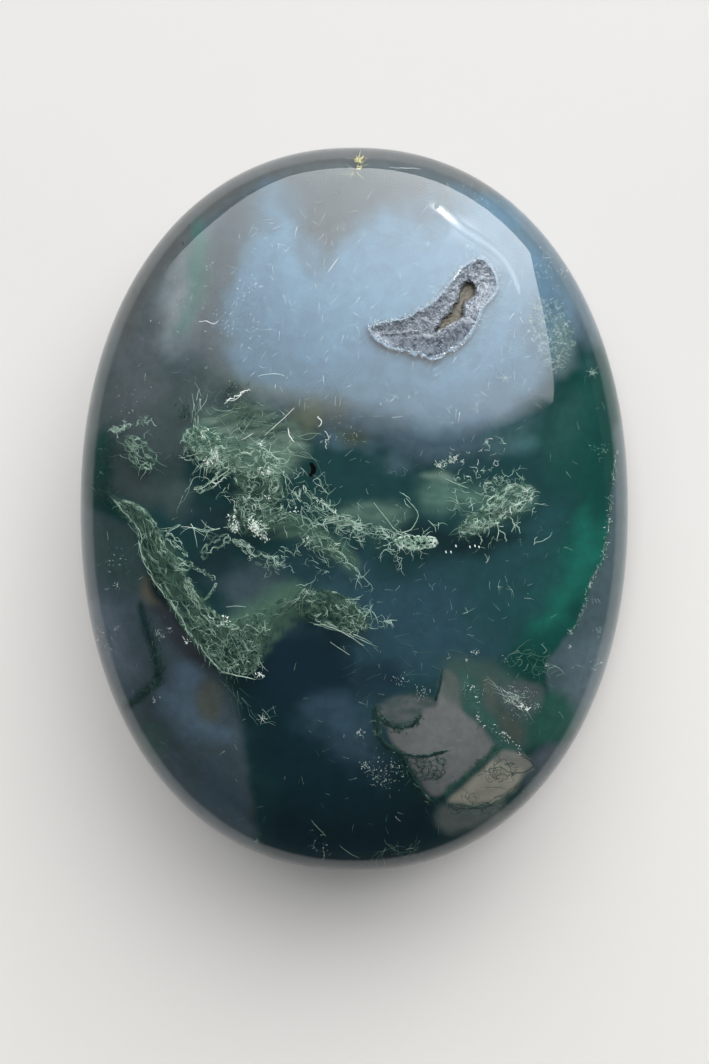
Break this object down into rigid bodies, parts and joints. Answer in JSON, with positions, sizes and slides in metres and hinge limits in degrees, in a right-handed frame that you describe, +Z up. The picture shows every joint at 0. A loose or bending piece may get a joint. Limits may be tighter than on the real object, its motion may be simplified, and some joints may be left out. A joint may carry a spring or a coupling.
{
  "type": "moss agate",
  "caption": "Polished oval moss agate palm stone with a small crystal-lined hollow in its upper face and a small flat to rest on.",
  "frame": {"origin": "middle of the small flat underneath that the stone rests on", "axes": "+X across the stone, +Y along its length towards the hollow, +Z up through its thickness"},
  "size_m": [0.0544, 0.072, 0.025],
  "materials": {
    "polished_chalcedony": "high polish, translucent milky blue to deep green with pale green moss",
    "quartz_druse": "sparkling small crystals, grey white with a brown cleft"
  },
  "bodies": {
    "root": {"moss_agate": "polished_chalcedony", "druse_crust": "quartz_druse"}
  },
  "joints": []
}
